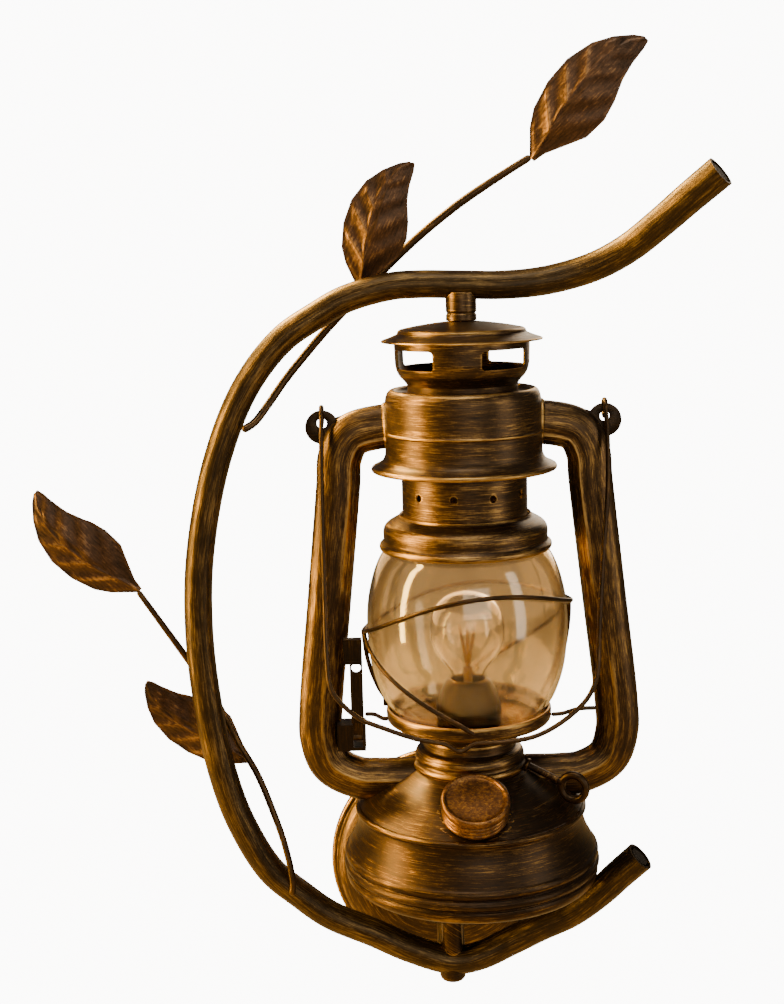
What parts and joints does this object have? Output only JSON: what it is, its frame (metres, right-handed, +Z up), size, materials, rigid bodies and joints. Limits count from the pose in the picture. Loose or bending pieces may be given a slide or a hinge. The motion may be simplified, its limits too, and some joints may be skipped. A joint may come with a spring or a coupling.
{
  "type": "wall oil lamp",
  "caption": "Wall lamp shaped as a small storm lantern with glass globe, bail and side tubes, hung in a bent branch of tube with twigs and leaves, on a round wall plate.",
  "frame": {"origin": "centre of the mounting strap's back face, on the wall", "axes": "+Y into the wall, +Z up, +X to the right as seen from the front"},
  "size_m": [0.312, 0.1404, 0.4662],
  "materials": {
    "antique_bronze": "dark bronze paint brushed with gold, satin",
    "branch_bronze": "dark bronze paint brushed lengthwise with gold, satin",
    "leaf_bronze": "dark bronze paint with gold on the raised veins, satin",
    "worn_bronze": "dark bronze paint worn to gold, satin",
    "dark_bronze": "dark brown paint, satin",
    "zinc_steel": "zinc plated",
    "screw_brass": "brass plated",
    "black_plastic": "matte",
    "globe_glass": "clear blown glass",
    "bulb_glass": "clear glass",
    "bulb_filament": "coated filament sticks"
  },
  "bodies": {
    "frame": {"wall_strap": "zinc_steel", "wall_plate": "antique_bronze", "strap_screw_left": "screw_brass", "strap_screw_right": "screw_brass", "plate_nut_left": "branch_bronze", "plate_nut_right": "branch_bronze", "terminal_block": "black_plastic", "branch_tube": "branch_bronze", "branch_top_plug": "dark_bronze", "branch_bottom_plug": "dark_bronze", "wall_arm": "antique_bronze", "upper_twig": "branch_bronze", "lower_twig": "branch_bronze", "leaf_upper_outer": "leaf_bronze", "leaf_upper_inner": "leaf_bronze", "leaf_lower_outer": "leaf_bronze", "leaf_lower_inner": "leaf_bronze", "tank_shell": "antique_bronze", "tank_pan": "dark_bronze", "base_post": "antique_bronze", "base_bolt": "branch_bronze", "base_nut": "zinc_steel", "burner_neck": "antique_bronze", "burner_cone": "dark_bronze", "lamp_holder": "black_plastic", "side_tube_left": "antique_bronze", "side_tube_right": "antique_bronze", "hood": "antique_bronze", "vent_ring": "antique_bronze", "top_cap": "antique_bronze", "hanger_post": "antique_bronze", "hanger_nut": "zinc_steel", "lift_bracket": "dark_bronze", "filler_neck": "antique_bronze"},
    "bail": {"bail": "worn_bronze"},
    "globe_carriage": {"globe_dish": "antique_bronze", "globe_glass": "globe_glass", "globe_cap": "antique_bronze", "chimney_collar": "antique_bronze", "globe_guard": "worn_bronze", "guide_wire_left": "worn_bronze", "guide_wire_right": "worn_bronze"},
    "lift_lever": {"lift_lever": "worn_bronze"},
    "filler_cap": {"filler_cap": "worn_bronze"},
    "winder": {"winder_spindle": "worn_bronze", "winder_loop": "worn_bronze"},
    "bulb": {"bulb_base": "screw_brass", "bulb_glass": "bulb_glass", "bulb_filament": "bulb_filament"}
  },
  "joints": [
    {"name": "bail_swing", "type": "hinge", "parent": "frame", "child": "bail", "pos_m": [0.01, -0.0802, 0.2444], "axis": [-1, 0, 0], "range_deg": [0, 145]},
    {"name": "globe_lift", "type": "slide", "parent": "frame", "child": "globe_carriage", "axis": [0, 0, 1], "range_m": [0, 0.01]},
    {"name": "lift_lever_turn", "type": "hinge", "parent": "frame", "child": "lift_lever", "pos_m": [-0.04176, -0.0891, 0.0955], "axis": [1, 0, 0], "range_deg": [0, 40.1]},
    {"name": "filler_cap_turn", "type": "hinge", "parent": "frame", "child": "filler_cap", "pos_m": [0.01, -0.1205, 0.06775], "axis": [0, -0.454, 0.891], "continuous": true},
    {"name": "winder_turn", "type": "hinge", "parent": "frame", "child": "winder", "pos_m": [0.03529, -0.09199, 0.08122], "axis": [0.8517, -0.3971, -0.342], "continuous": true},
    {"name": "bulb_turn", "type": "hinge", "parent": "frame", "child": "bulb", "pos_m": [0.01, -0.0802, 0.1], "axis": [0, 0, 1], "continuous": true}
  ],
  "couplings": [
    {"joint": "lift_lever_turn", "follows": "globe_lift", "rad_per_m": 69.8}
  ]
}
